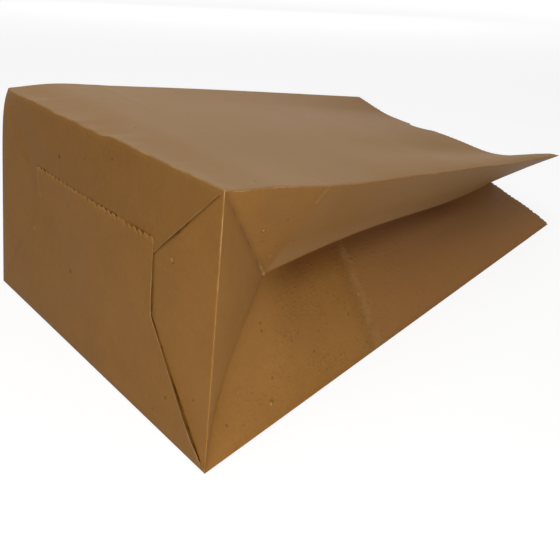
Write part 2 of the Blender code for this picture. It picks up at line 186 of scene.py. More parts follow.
class Side:
    """The corner points of one gusset, for the near side (+1) or the far side (-1)."""

    def __init__(self, sign, lean, tuck, low_tuck, drop, mouth_height, askew, waves):
        edge = sign * PANEL_WIDTH / 2
        self.up = up = np.array((0, math.sin(lean), math.cos(lean)))
        self.ahead = ahead = np.array((0, math.cos(lean), -math.sin(lean)))
        self.inward = inward = np.array((-sign, 0.0, 0.0))
        self.waves = waves
        self.tuck_angles = (low_tuck, tuck)
        self.low_base = np.array((edge, -BAG_LENGTH / 2, 0))
        self.low_mouth = np.array((edge, BAG_LENGTH / 2, 0))
        self.top_base = self.low_base + up * GUSSET_DEPTH
        self.mid_base = self.low_base + up * HALF_GUSSET
        self.tuck = self.mid_base + (ahead * math.cos(tuck) + inward * math.sin(tuck)) * HALF_GUSSET
        slope = np.array((0, math.cos(drop), -math.sin(drop)))
        self.top_crease = self.top_base + slope * HALF_GUSSET
        fall = self.top_crease[2] - mouth_height
        run = math.sqrt((CREASE_TO_MOUTH - askew) ** 2 - fall**2 - MOUTH_SHIFT**2)
        self.top_mouth = self.top_crease + np.array((-MOUTH_SHIFT, run, -fall))
        self.mid_mouth = self.folded_mouth(inward, CREASE_TO_MOUTH - askew / 2)

    def folded_mouth(self, inward, crease):
        """Where the gusset's middle crease ends at the mouth, from the lengths of the paper."""
        opening = self.top_mouth - self.low_mouth
        length = np.linalg.norm(opening)
        along = opening / length
        lower = HALF_GUSSET - MOUTH_CURL - CREASE_OFFSET
        upper = HALF_GUSSET - MOUTH_CURL + CREASE_OFFSET
        foot = (length**2 + lower**2 - upper**2) / (2 * length)
        middle = self.low_mouth + along * foot
        radius = math.sqrt(lower**2 - foot**2)
        back = self.tuck - middle
        flat_back = back - along * back.dot(along)
        depth = np.linalg.norm(flat_back)
        ahead = flat_back / depth
        side = np.cross(along, ahead)
        side = side * math.copysign(1, side.dot(inward))
        cosine = (radius**2 + back.dot(back) - crease**2) / (2 * radius * depth)
        cosine = max(-0.9, min(0.9, cosine))
        return middle + (ahead * cosine + side * math.sqrt(1 - cosine**2)) * radius

    def top_edge(self, r):
        """The fold between the top panel and the gusset."""
        near = lerp(self.top_base, self.top_crease, r / HALF_GUSSET)
        beyond = lerp(self.top_crease, self.top_mouth, (r - HALF_GUSSET) / CREASE_TO_MOUTH)
        point = np.where((r <= HALF_GUSSET)[..., None], near, beyond)
        point[..., 2] += smooth_line(self.waves, r)
        return point

    def low_edge(self, r):
        """The fold between the lower panel and the gusset."""
        return lerp(self.low_base, self.low_mouth, r / BAG_LENGTH)

    def middle_crease(self, r):
        """The gusset's middle crease, from the tucked corner to the mouth."""
        share = (r - HALF_GUSSET) / CREASE_TO_MOUTH
        point = lerp(self.tuck, self.mid_mouth, share)
        point[..., 2] += CREASE_WAVE * np.sin(2 * math.pi * np.clip(share, 0, 1))
        return point

    def upper_facet(self, w, r):
        """The triangle by the upper corner of the bottom, down to the middle of its side."""
        across = (self.mid_base - self.top_base) * ((w - r) / HALF_GUSSET)[..., None]
        return self.top_base + across + (self.tuck - self.top_base) * (r / HALF_GUSSET)[..., None]

    def lower_facet(self, w, r):
        """The triangle by the lower corner, tucked in more close to it, so that its crease is bowed."""
        corner, tucked = self.tuck_angles
        share = 1 - (1 - np.clip(w / HALF_GUSSET, 0, 1)) ** 1.5
        angle = (corner + (tucked - corner) * share)[..., None]
        way = self.ahead * np.cos(angle) + self.inward * np.sin(angle)
        return self.low_base + self.up * w[..., None] + way * r[..., None]

    def upper_half(self, w, r):
        """The upper half of the gusset, w below its top fold."""
        by_bottom = self.top_edge(r - w) + (self.tuck - self.top_base) * (w / HALF_GUSSET)[..., None]
        beyond = lerp(self.top_edge(r), self.middle_crease(r), w / HALF_GUSSET)
        point = np.where((r <= HALF_GUSSET)[..., None], by_bottom, beyond)
        return np.where((w > r)[..., None], self.upper_facet(w, r), point)

    def lower_half(self, w, r):
        """The lower half of the gusset, w above its lower fold."""
        reach = np.clip(r, 1e-6, HALF_GUSSET)
        by_bottom = self.lower_facet(reach, reach)
        inner = np.where((r <= HALF_GUSSET)[..., None], by_bottom, self.middle_crease(r))
        point = lerp(self.low_edge(r), inner, w / reach)
        bow = np.sin(math.pi * np.sqrt(np.clip(w / reach, 0, 1)))
        point[..., 2] += LOWER_BOW * bow * r / BAG_LENGTH
        return np.where((w > r)[..., None], self.lower_facet(w, r), point)


NEAR = Side(1, LEAN_NEAR, TUCK_NEAR, LOW_CORNER_TUCK, DROP_NEAR, MOUTH_HEIGHT_NEAR, 0.0, NEAR_FOLD_WAVES)
FAR = Side(-1, LEAN_FAR, TUCK_FAR, TUCK_FAR, DROP_FAR, MOUTH_HEIGHT_FAR, FOLD_ASKEW, FAR_FOLD_WAVES)


def bottom_fold(u):
    """How far the top panel's fold by the bottom lies above a straight line, u from the near fold."""
    ends = step(0, 6 * MM, u) * step(0, 6 * MM, PANEL_WIDTH - u)
    return smooth_line(BOTTOM_FOLD_WAVES, u) + ends * 0.12 * MM * CRUMPLE.at(u, np.zeros_like(u))


def lower_panel(u, r):
    """The panel that the bag lies on."""
    return lerp(FAR.low_edge(r), NEAR.low_edge(r), u / PANEL_WIDTH)


def top_panel(u, r):
    """The panel on top, u from the near fold. It sags towards the mouth."""
    point = lerp(NEAR.top_edge(r), FAR.top_edge(r), u / PANEL_WIDTH)
    share = np.clip((r - HALF_GUSSET) / CREASE_TO_MOUTH, 0, 1)
    point[..., 2] -= smooth_line(MOUTH_SAG, u) * share**1.3
    point[..., 2] += bottom_fold(u) * np.exp(-np.abs(r) / FOLD_WAVE_REACH)
    return point


def bottom_place(u, v):
    """The bottom's lowest layer, u from its far edge and v from its lower edge."""
    low = lerp(FAR.low_base, NEAR.low_base, u / PANEL_WIDTH)
    top = lerp(FAR.top_base, NEAR.top_base, u / PANEL_WIDTH)
    waves = bottom_fold(PANEL_WIDTH - u)
    top[..., 2] += waves * np.exp(-np.abs(GUSSET_DEPTH - v) / FOLD_WAVE_REACH)
    return lerp(low, top, v / GUSSET_DEPTH)


def on_bottom(panel, u, depth):
    """Where a place on a glued flap lies on the bottom, at a depth beyond the bottom's edge."""
    if panel == "lower":
        return u, depth
    if panel == "near":
        return PANEL_WIDTH - depth, u - NEAR_LOW_FOLD
    if panel == "top":
        return FAR_TOP_FOLD - u, GUSSET_DEPTH - depth
    return depth, AROUND - u


def tube_place(u, r):
    """Any place on the tube, and on past its end onto the bottom."""
    u = np.mod(u, AROUND)
    parts = (
        (NEAR_LOW_FOLD, "lower", lower_panel(u, r)),
        (NEAR_CREASE, "near", NEAR.lower_half(u - NEAR_LOW_FOLD, r)),
        (NEAR_TOP_FOLD, "near", NEAR.upper_half(NEAR_TOP_FOLD - u, r)),
        (FAR_TOP_FOLD, "top", top_panel(u - NEAR_TOP_FOLD, r)),
        (FAR_CREASE, "far", FAR.upper_half(u - FAR_TOP_FOLD, r)),
        (AROUND, "far", FAR.lower_half(AROUND - u, r)),
    )
    point = parts[-1][2]
    for fold, panel, tube in reversed(parts):
        here = np.where((r < 0)[..., None], bottom_place(*on_bottom(panel, u, -r)), tube)
        point = np.where((u <= fold)[..., None], here, point)
    return point


def rounded(place, u, r):
    """Places on the paper with every fold rounded to the radius of folded paper."""
    total = place(u, r) * 2
    for turn in range(8):
        angle = turn * math.pi / 4
        total = total + place(u + FOLD_RADIUS * math.cos(angle), r + FOLD_RADIUS * math.sin(angle))
    return total / 10


def press_corner(point):
    """The bottom's far upper corner is pressed in towards the mouth."""
    distance = np.linalg.norm(point - FAR.top_base, axis=-1)
    point[..., 1] += CORNER_PRESS * np.exp(-distance / CORNER_PRESS_REACH)
    return point


def fold_offsets(count):
    """Distances from a fold to the mesh lines of half a gusset, closer together by its folds."""
    even = [HALF_GUSSET * index / count for index in range(count + 1)]
    return sorted([*even, *CLOSE_LINES, *(HALF_GUSSET - x for x in CLOSE_LINES)])


def column_lines():
    """The mesh lines along the tube, as distances around it."""
    offsets = fold_offsets(HALF_GUSSET_COLUMNS)
    panel = [PANEL_WIDTH * index / PANEL_COLUMNS for index in range(PANEL_COLUMNS + 1)]
    panel = sorted([*panel, PANEL_CLOSE_LINE, PANEL_WIDTH - PANEL_CLOSE_LINE])
    gusset = offsets + [GUSSET_DEPTH - x for x in reversed(offsets[:-1])]
    lines = []
    starts = (0, NEAR_LOW_FOLD, NEAR_TOP_FOLD, FAR_TOP_FOLD)
    for start, part in zip(starts, (panel, gusset, panel, gusset)):
        lines += [start + x for x in part[:-1]]
    return np.array(lines + [AROUND])


def row_lines():
    """The mesh lines around the tube, as distances from the bottom."""
    beyond = [*CLOSE_LINES, *(CREASE_TO_MOUTH * index / LONG_ROWS for index in range(1, LONG_ROWS + 1))]
    return np.array(sorted(fold_offsets(HALF_GUSSET_COLUMNS) + [HALF_GUSSET + x for x in beyond]))


def fold_distance(u, r):
    """How far a place is from the nearest fold that keeps the paper straight."""
    folds = (0, NEAR_LOW_FOLD, NEAR_CREASE, NEAR_TOP_FOLD, FAR_TOP_FOLD, FAR_CREASE, AROUND)
    distance = np.abs(r)
    for fold in folds:
        distance = np.minimum(distance, np.abs(u - fold))
    for fold in (NEAR_LOW_FOLD, NEAR_TOP_FOLD, FAR_TOP_FOLD, AROUND):
        diagonal = np.abs(np.abs(u - fold) - r) / math.sqrt(2)
        in_gusset = ((u > NEAR_LOW_FOLD) & (u < NEAR_TOP_FOLD)) | (u > FAR_TOP_FOLD)
        near_diagonal = in_gusset & (r < HALF_GUSSET) & (np.abs(u - fold) < HALF_GUSSET)
        distance = np.where(near_diagonal, np.minimum(distance, diagonal), distance)
    return distance


BROAD = Roughness(4, 46 * MM, 58 * MM)
WAVY = Roughness(9, 17 * MM, 23 * MM)
CRINKLE = Roughness(21, 5.2 * MM, 6.4 * MM)
DIMPLE = Roughness(35, 2.4 * MM, 2.7 * MM)
CRUMPLE = Roughness(52, 2.6 * MM, 5 * MM)


def unevenness(u, r):
    """How far the tube's paper stands proud of its folded shape."""
    free = fold_distance(u, r)
    height = step(0, 14 * MM, free) * (0.40 * MM * BROAD.at(u, r) + 0.14 * MM * WAVY.at(u, r))
    height += step(0, 4 * MM, free) * 0.05 * MM * CRINKLE.at(u, r)
    on_top = (u > NEAR_TOP_FOLD) & (u < FAR_TOP_FOLD)
    height = np.where(on_top, height * 0.3, height)
    dimples = step(0.3 * MM, 3 * MM, free) * 0.05 * MM * DIMPLE.at(u, r)
    height += np.where((u > NEAR_LOW_FOLD) & (u < NEAR_CREASE), dimples, 0)
    return np.where(u < NEAR_LOW_FOLD, -np.abs(height), height)


def bottom_unevenness(u, v):
    """How far the bottom's layers stand proud of its plane."""
    edge = np.minimum(np.minimum(u, PANEL_WIDTH - u), np.minimum(v, GUSSET_DEPTH - v))
    free = step(0, 12 * MM, edge)
    height = free * (0.5 * MM * BROAD.at(u + 400 * MM, v) + 0.2 * MM * WAVY.at(u, v + 300 * MM))
    return height + step(0, 3 * MM, edge) * 0.04 * MM * CRINKLE.at(u + 90 * MM, v)


def mouth_shape(columns):
    """Where each column meets the cut edge, and where it runs through the rows next to the notch."""
    ends = np.full(len(columns), BAG_LENGTH)
    shifted = columns.copy()
    middle = int(np.argmin(np.abs(columns - (NEAR_TOP_FOLD + NOTCH_PLACE))))
    half = (columns[middle + NOTCH_COLUMNS // 2] - columns[middle - NOTCH_COLUMNS // 2]) / 2
    for index in range(NOTCH_COLUMNS + 1):
        angle = math.pi * index / NOTCH_COLUMNS
        column = middle - NOTCH_COLUMNS // 2 + index
        shifted[column] = columns[middle] - half * math.cos(angle)
        ends[column] -= NOTCH_DEPTH * math.sin(angle)
    return ends, shifted


def surface_normals(grid):
    """Outward directions on a grid of points whose rows run around the tube."""
    around = np.roll(grid, -1, axis=1) - np.roll(grid, 1, axis=1)
    along = np.gradient(grid, axis=0)
    normals = np.cross(along, around)
    return normals / np.maximum(np.linalg.norm(normals, axis=-1, keepdims=True), 1e-12)


class Sheet:
    """The mesh of the paper while it is put together."""

    def __init__(self):
        self.points = []
        self.faces = []
        self.places = []
        self.pull = []
        self.way = []

    def add_points(self, points, pull=None, way=None):
        """Adds points and returns the number of the first one."""
        first = len(self.points)
        self.points += [tuple(point) for point in points]
        self.pull += [0.0] * len(points) if pull is None else list(pull)
        self.way += [(0.0, 0.0, 0.0)] * len(points) if way is None else [tuple(w) for w in way]
        return first

    def add_face(self, corners, places):
        """Adds one face, with the place on the paper of each of its corners."""
        self.faces.append(corners)
        self.places += places


def add_tube(sheet):
    """The folded tube. Returns the column lines."""
    columns = column_lines()
    rows = row_lines()
    ends, shifted = mouth_shape(columns)
    near_mouth = step(BAG_LENGTH - 30 * MM, BAG_LENGTH - NOTCH_DEPTH, rows)[:, None]
    start = BAG_LENGTH - NOTCH_REACH
    beyond = np.clip(rows - start, 0, None)[:, None] / (BAG_LENGTH - start)
    r = np.minimum(rows, start)[:, None] + beyond * (ends - start)[None, :]
    u = columns[None, :] + near_mouth * (shifted - columns)[None, :]
    u = u[:, :-1] * np.ones_like(r[:, :-1])
    r = r[:, :-1]
    grid = press_corner(rounded(tube_place, u, r))
    normals = surface_normals(grid)
    grid = grid + normals * unevenness(u, r)[..., None]
    count = len(columns) - 1
    pull = np.zeros(grid.shape[:2])
    pull[-1, ::2] = 1
    notch = ends[:-1] < BAG_LENGTH
    pull[-1, notch] = 0
    way = np.zeros(grid.shape)
    way[-1] = grid[-2] - grid[-1]
    way[-1] /= np.linalg.norm(way[-1], axis=-1, keepdims=True)
    sheet.add_points(grid.reshape(-1, 3), pull.reshape(-1), way.reshape(-1, 3))
    diagonals = crease_cells(columns, rows)
    for row in range(len(rows) - 1):
        for column in range(count):
            right = (column + 1) % count
            corners = []
            for at_row, at in ((row, column), (row, right), (row + 1, right), (row + 1, column)):
                around = AROUND if at < column else u[at_row, at]
                corners.append((at_row * count + at, (around, r[at_row, at])))
            for face in CELL_FACES[diagonals.get((row, column))]:
                sheet.add_face([corners[at][0] for at in face], [corners[at][1] for at in face])
    return columns


# The faces of a cell, by the way that a crease splits it
CELL_FACES = {None: ((0, 3, 2, 1),), "rising": ((0, 2, 1), (0, 3, 2)), "falling": ((0, 3, 1), (1, 3, 2))}


def crease_cells(columns, rows):
    """The cells of the tube's mesh that a diagonal crease of a gusset cuts in two."""
    cells = {}
    for column, (left, right) in enumerate(zip(columns, columns[1:])):
        for row, (low, high) in enumerate(zip(rows, rows[1:])):
            if high > HALF_GUSSET + SAME_PLACE:
                break
            for fold in (NEAR_LOW_FOLD, FAR_TOP_FOLD):
                if max(abs(left - fold - low), abs(right - fold - high)) < SAME_PLACE:
                    cells[row, column] = "rising"
            for fold in (NEAR_TOP_FOLD, AROUND):
                if max(abs(fold - right - low), abs(fold - left - high)) < SAME_PLACE:
                    cells[row, column] = "falling"
    return cells


def flap_sides(panel, depth):
    """The two sides of a flap at a depth, as distances from the start of its edge of the bottom."""
    if panel in ("near", "far"):
        inset = SIDE_FLAP_INSET * step(0, 2 * MM, depth)
        return inset, GUSSET_DEPTH - inset
    if panel == "top":
        inset = np.minimum(depth, HALF_GUSSET)
        return inset, PANEL_WIDTH - inset
    far = np.minimum(depth / math.tan(FLAP_SLANT), FLAP_INSET + FLAP_SHIFT)
    near = np.minimum(depth / math.tan(FLAP_SLANT), FLAP_INSET - FLAP_SHIFT)
    return far, PANEL_WIDTH - near


def flap_rise(panel, u, v, side):
    """How far a flap stands out from the bottom's lowest layer, with its free edges a little lifted."""
    if panel in ("near", "far"):
        return np.zeros_like(u)
    level = UPPER_FLAP_LEVEL if panel == "top" else LOWER_FLAP_LEVEL
    depth = v if panel == "lower" else GUSSET_DEPTH - v
    rise = level * step(0, 2 * MM, depth)
    if panel == "lower":
        wander = np.clip(0.2 + WAVY.at(u * 3.1, v * 3.1), 0, 1)
        rise += (0.05 + 0.10 * wander) * MM * np.exp(-side / (2.5 * MM)) * step(4 * MM, 20 * MM, depth)
        rise += (0.02 + 0.22 * wander) * MM * np.exp(-(FLAP_REACH - depth) / (1.8 * MM))
        kink = 0.18 * bump(depth, 40 * MM, 5 * MM)
        corner = 0.15 + 0.45 * step(34 * MM, 9 * MM, depth)
        corner = corner * step(3 * MM, 7 * MM, depth) * step(38 * MM, 30 * MM, depth)
        near_side = np.where(u > PANEL_WIDTH / 2, 1.0, 0.3)
        rise += near_side * (kink + corner) * MM * np.exp(-side / (3.5 * MM))
    else:
        uncovered = step(FLAP_REACH - 3 * MM, FLAP_REACH + 3 * MM, v)
        lift = 0.25 * MM + 0.35 * MM * step(8 * MM, 20 * MM, depth)
        rise += lift * np.exp(-side / (2.2 * MM)) * uncovered * step(0, 8 * MM, depth)
    return rise


def add_flap(sheet, columns, panel, first_fold, last_fold):
    """A glued flap, joined to the tube along the bottom's edge."""
    own = np.flatnonzero((columns >= first_fold - SAME_PLACE) & (columns <= last_fold + SAME_PLACE))
    share = (columns[own] - first_fold) / (last_fold - first_fold)
    depths = np.concatenate((CLOSE_LINES, np.linspace(2 * MM, FLAP_REACH, FLAP_ROWS)))
    low, high = flap_sides(panel, depths[:, None])
    along = low + (high - low) * share[None, :]
    side = np.minimum(along - low, high - along)
    u = first_fold + along
    depth = depths[:, None] * np.ones_like(u)
    bottom_u, bottom_v = on_bottom(panel, u, depth)

    def place(at_u, at_r):
        onto_flap = bottom_place(*on_bottom(panel, at_u, -np.minimum(at_r, 0)))
        return np.where((at_r < 0)[..., None], onto_flap, tube_place(at_u, np.maximum(at_r, 0)))

    grid = press_corner(rounded(place, u, -depth))
    rise = flap_rise(panel, bottom_u, bottom_v, side) + bottom_unevenness(bottom_u, bottom_v)
    grid[..., 1] -= rise
    pull = np.zeros(grid.shape[:2])
    way = np.zeros(grid.shape)
    if panel == "lower":
        pull[-1, 2::4] = 1
        pull[-1, 1::4] = 0.35
        way[-1] = grid[-2] - grid[-1]
        way[-1] /= np.linalg.norm(way[-1], axis=-1, keepdims=True)
    first = sheet.add_points(grid.reshape(-1, 3), pull.reshape(-1), way.reshape(-1, 3))
    count = len(own)
    ring = len(columns) - 1
    for row in range(-1, len(depths) - 1):
        for column in range(count - 1):
            corners = []
            for at_row, at in ((row, column), (row, column + 1), (row + 1, column + 1), (row + 1, column)):
                if at_row < 0:
                    corners.append((own[at] % ring, (columns[own[at]], 0.0)))
                else:
                    corners.append((first + at_row * count + at, (u[at_row, at], -depths[at_row])))
            sheet.add_face([corner[0] for corner in corners], [corner[1] for corner in corners])


class Net:
    """Adds nodes to a tree. What feeds a node is a number, a vector, a colour or another node's output."""

    def __init__(self, tree):
        self.tree = tree

    def feed(self, socket, value):
        """Gives a socket its value."""
        if isinstance(value, bpy.types.NodeSocket):
            self.tree.links.new(value, socket)
        else:
            socket.default_value = value

    def node(self, kind, inputs=None, **settings):
        """A node with its settings, and with values for some of its inputs."""
        node = self.tree.nodes.new(kind)
        for name, setting in settings.items():
            setattr(node, name, setting)
        for socket, value in (inputs or {}).items():
            self.feed(node.inputs[socket], value)
        return node

    def maths(self, operation, *values):
        """A Math node's result."""
        return self.node("ShaderNodeMath", dict(enumerate(values)), operation=operation).outputs[0]

    def times(self, *values):
        """The product of two or more values."""
        product = values[0]
        for value in values[1:]:
            product = self.maths("MULTIPLY", product, value)
        return product

    def less(self, first, second):
        """The first value less the second."""
        return self.maths("SUBTRACT", first, second)

    def vectors(self, operation, *values):
        """A Vector Math node's result."""
        node = self.node("ShaderNodeVectorMath", dict(enumerate(values)), operation=operation)
        number = operation in ("DOT_PRODUCT", "LENGTH", "DISTANCE")
        return node.outputs["Value" if number else "Vector"]

    def scaled(self, vector, factor):
        """A vector times a number."""
        inputs = {0: vector, "Scale": factor}
        return self.node("ShaderNodeVectorMath", inputs, operation="SCALE").outputs["Vector"]

    def ramp(self, value, start, end, low=0.0, high=1.0):
        """Goes smoothly from low, where value is start, to high, where it is end."""
        inputs = {"Value": value, "From Min": start, "From Max": end, "To Min": low, "To Max": high}
        return self.node("ShaderNodeMapRange", inputs, interpolation_type="SMOOTHSTEP").outputs["Result"]

    def noise(self, place, scale, detail=2.0, rough=0.5):
        """A cloudy value from 0 to 1, with about one cloud in each 1/scale of the place."""
        inputs = {"Vector": place, "Scale": scale, "Detail": detail, "Roughness": rough}
        return self.node("ShaderNodeTexNoise", inputs, noise_dimensions="2D").outputs[0]

    def cells(self, place, scale):
        """Scattered cells: the distance from the middle of each, and a chance value for each."""
        inputs = {"Vector": place, "Scale": scale}
        cell = self.node("ShaderNodeTexVoronoi", inputs, voronoi_dimensions="2D").outputs
        chance = self.node("ShaderNodeSeparateColor", {0: cell["Color"]}).outputs[0]
        return cell["Distance"], chance

    def turned(self, place, angle, stretch):
        """The paper's places, turned and stretched for a pattern that runs one way."""
        inputs = {"Vector": place, "Rotation": (0, 0, math.radians(angle)), "Scale": stretch}
        return self.node("ShaderNodeMapping", inputs).outputs["Vector"]

    def mix(self, share, first, second):
        """A colour between two colours."""
        inputs = {"Factor": share, 6: first, 7: second}
        return self.node("ShaderNodeMix", inputs, data_type="RGBA").outputs[2]


def node_group(name, kind, inputs, outputs):
    """An empty group of nodes. Each socket has a name, and its first value or the kind that it takes."""
    tree = bpy.data.node_groups.new(name, kind)
    kinds = {tuple: "Vector", float: "Float", int: "Int"}
    for in_out, sockets in (("INPUT", inputs), ("OUTPUT", outputs)):
        for title, value in sockets:
            taken = kinds.get(type(value), value)
            socket = tree.interface.new_socket(title, in_out=in_out, socket_type="NodeSocket" + taken)
            if taken != value:
                socket.default_value = value
    given = tree.nodes.new("NodeGroupInput").outputs
    result = tree.nodes.new("NodeGroupOutput").inputs
    return Net(tree), given, result


def shader_group(name, inputs, outputs):
    """An empty shader node group, whose outputs are all numbers."""
    return node_group(name, "ShaderNodeTree", inputs, [(title, "Float") for title in outputs])


def saw_teeth_tree():
    """Geometry nodes that cut teeth into an edge: they pull its marked points back into the sheet."""
    inputs = (("Sheet", "Geometry"), ("Depth", TOOTH_DEPTH), ("Unevenness", TOOTH_UNEVENNESS),
              ("Seed", TOOTH_SEED), ("Paper", "Material"))
    outputs = (("Sheet", "Geometry"),)
    net, given, result = node_group("saw_teeth", "GeometryNodeTree", inputs, outputs)
    pull, way = [
        net.node("GeometryNodeInputNamedAttribute", {"Name": name}, data_type=kind).outputs["Attribute"]
        for name, kind in (("tooth_pull", "FLOAT"), ("tooth_way", "FLOAT_VECTOR"))
    ]
    least = net.less(1.0, given["Unevenness"])
    most = net.maths("ADD", 1.0, given["Unevenness"])
    inputs = {"Min": least, "Max": most, "Seed": given["Seed"]}
    chance = net.node("FunctionNodeRandomValue", inputs, data_type="FLOAT").outputs["Value"]
    offset = net.scaled(way, net.times(given["Depth"], chance, pull))
    cut = net.node("GeometryNodeSetPosition", {"Geometry": given["Sheet"], "Offset": offset})
    real = net.node("GeometryNodeRealizeInstances", {"Geometry": cut.outputs["Geometry"]})
    inputs = {"Geometry": real.outputs["Geometry"], "Material": given["Paper"]}
    net.feed(result["Sheet"], net.node("GeometryNodeSetMaterial", inputs).outputs["Geometry"])
    return net.tree


def add_object(name, data):
    """A new object in the scene."""
    added = bpy.data.objects.new(name, data)
    bpy.context.scene.collection.objects.link(added)
    return added


def finished_mesh(name, mesh, material):
    """The sheet with its teeth cut and its thickness added, as a plain mesh."""
    draft = add_object(name + "_draft", mesh)
    teeth = draft.modifiers.new("teeth", "NODES")
    teeth.node_group = saw_teeth_tree()
    values = {"Depth": TOOTH_DEPTH, "Unevenness": TOOTH_UNEVENNESS, "Seed": TOOTH_SEED, "Paper": material}
    for item in teeth.node_group.interface.items_tree:
        if item.in_out == "INPUT" and item.name in values:
            teeth[item.identifier] = values[item.name]
    thickness = draft.modifiers.new("thickness", "SOLIDIFY")
    thickness.thickness = PAPER
    thickness.offset = -1
    bpy.context.view_layer.update()
    graph = bpy.context.evaluated_depsgraph_get()
    result = bpy.data.meshes.new_from_object(draft.evaluated_get(graph))
    result.name = name
    bpy.data.objects.remove(draft)
    return result


def build_bag(material):
    """The whole bag as one folded sheet."""
    sheet = Sheet()
    columns = add_tube(sheet)
    add_flap(sheet, columns, "near", NEAR_LOW_FOLD, NEAR_TOP_FOLD)
    add_flap(sheet, columns, "far", FAR_TOP_FOLD, AROUND)
    add_flap(sheet, columns, "top", NEAR_TOP_FOLD, FAR_TOP_FOLD)
    add_flap(sheet, columns, "lower", 0, NEAR_LOW_FOLD)
    mesh = bpy.data.meshes.new("bag_sheet")
    mesh.from_pydata(sheet.points, [], sheet.faces)
    mesh.polygons.foreach_set("use_smooth", [True] * len(mesh.polygons))
    paper = mesh.uv_layers.new(name="paper")
    paper.data.foreach_set("uv", (np.array(sheet.places) / UNIT).reshape(-1))
    pull = mesh.attributes.new("tooth_pull", "FLOAT", "POINT")
    pull.data.foreach_set("value", sheet.pull)
    way = mesh.attributes.new("tooth_way", "FLOAT_VECTOR", "POINT")
    way.data.foreach_set("vector", np.array(sheet.way).reshape(-1))
    mesh.update()
    return add_object("folded_bag", finished_mesh("folded_bag", mesh, material))


def paper_grain_group():
    """The grain of kraft paper: clouds, fibres, faint lines along the sheet and a few dark specks."""
    inputs = (("Place", ORIGIN), ("Cloud Scale", 7.0), ("Fibre Scale", 1.0), ("Speck Scale", 26.0))
    outputs = ("Shade", "Warmth", "Specks", "Flecks", "Height")
    net, given, result = shader_group("paper_grain", inputs, outputs)
    place = given["Place"]
    scale = given["Cloud Scale"]
    clouds = net.noise(place, scale, 4.0, 0.55)
    mottle = net.noise(place, net.times(scale, 7.0), 3.0, 0.6)
    lines = net.noise(net.turned(place, 0, (42.0, 1.1, 1.0)), 1.0, 3.0, 0.6)
    fibres = 0.0
    for angle, stretch in ((0, (240.0, 30.0, 1.0)), (48, (230.0, 34.0, 1.0)), (-42, (250.0, 36.0, 1.0))):
        layer = net.noise(net.turned(place, angle, stretch), given["Fibre Scale"])
        fibres = net.maths("ADD", fibres, layer)
    fibres = net.maths("DIVIDE", fibres, 3.0)
    shade = 0.5
    for part, strength in ((clouds, 0.9), (mottle, 0.55), (lines, 0.16), (fibres, 0.8)):
        shade = net.maths("MULTIPLY_ADD", net.less(part, 0.5), strength, shade)
    net.feed(result["Shade"], shade)
    elsewhere = net.vectors("ADD", place, (3.1, 7.7, 0.0))
    net.feed(result["Warmth"], net.noise(elsewhere, net.times(scale, 0.4)))
    spots = (("Specks", ORIGIN, 0.985, 0.075), ("Flecks", (5.3, 2.9, 0.0), 0.965, 0.055))
    for title, shift, rare, size in spots:
        distance, chance = net.cells(net.vectors("ADD", place, shift), given["Speck Scale"])
        spot = net.ramp(distance, size, size * 1.7, 1.0, 0.0)
        net.feed(result[title], net.times(spot, net.maths("GREATER_THAN", chance, rare)))
    height = net.maths("MULTIPLY_ADD", fibres, 0.9, net.times(mottle, 0.8))
    net.feed(result["Height"], height)
    return net.tree


def pebble_group():
    """A fine pebbled surface: small round bumps of different heights, with smooth paper between them."""
    inputs = (("Place", ORIGIN), ("Scale", 58.0), ("Share", 0.20))
    net, given, result = shader_group("pebbles", inputs, ("Height",))
    stretched = net.turned(given["Place"], 0, (1.0, 0.66, 1.0))
    distance, chance = net.cells(stretched, given["Scale"])
    hump = net.times(net.ramp(distance, 0.50, 0.0), net.ramp(chance, given["Share"], 1.0))
    uneven = net.noise(given["Place"], given["Scale"], 1.0)
    net.feed(result["Height"], net.maths("MULTIPLY_ADD", uneven, 0.45, hump))
    return net.tree


def crease_line_group():
    """A crease in the paper from one place to another: a thin line, and a wide band beside it, used for wear,
    painted highlights and painted shade.
    """
    inputs = (("Place", ORIGIN), ("Start", ORIGIN), ("End", (1.0, 0.0, 0.0)), ("Half Width", 0.006),
              ("Band Width", 0.04), ("Raggedness", 0.7), ("Fading", 0.8))
    net, given, result = shader_group("crease_line", inputs, ("Line", "Band"))
    place = given["Place"]
    along = net.vectors("SUBTRACT", given["End"], given["Start"])
    reach = net.vectors("SUBTRACT", place, given["Start"])
    length = net.vectors("DOT_PRODUCT", along, along)
    share = net.maths("DIVIDE", net.vectors("DOT_PRODUCT", reach, along), length)
    share = net.maths("MINIMUM", net.maths("MAXIMUM", share, 0.0), 1.0)
    nearest = net.scaled(along, share)
    distance = net.vectors("LENGTH", net.vectors("SUBTRACT", reach, nearest))
    ragged = net.less(net.noise(place, 62.0, 2.0, 0.6), 0.5)
    ragged = net.times(ragged, given["Raggedness"])
    ragged = net.maths("MAXIMUM", net.maths("MULTIPLY_ADD", ragged, 2.6, 1.0), 0.02)
    width = net.times(given["Half Width"], ragged)
    line = net.ramp(distance, net.times(width, 0.25), width, 1.0, 0.0)
    faded = net.ramp(net.noise(place, 11.0), 0.62, 0.38, 0.0, given["Fading"])
    net.feed(result["Line"], net.times(line, net.less(1.0, faded)))
    net.feed(result["Band"], net.ramp(distance, 0.0, given["Band Width"], 1.0, 0.0))
    return net.tree


# The paper's sizes in its pattern's unit, a tenth of a metre. The middle crease is measured from the middle
# of the top panel.
W = PANEL_WIDTH / UNIT
D = GUSSET_DEPTH / UNIT
L = BAG_LENGTH / UNIT
FLAP_END = -FLAP_REACH / UNIT
FLAP_FAR = (FLAP_INSET + FLAP_SHIFT) / UNIT
FLAP_NEAR = W - (FLAP_INSET - FLAP_SHIFT) / UNIT
MIDDLE_CREASE = W / 2 + D / 2
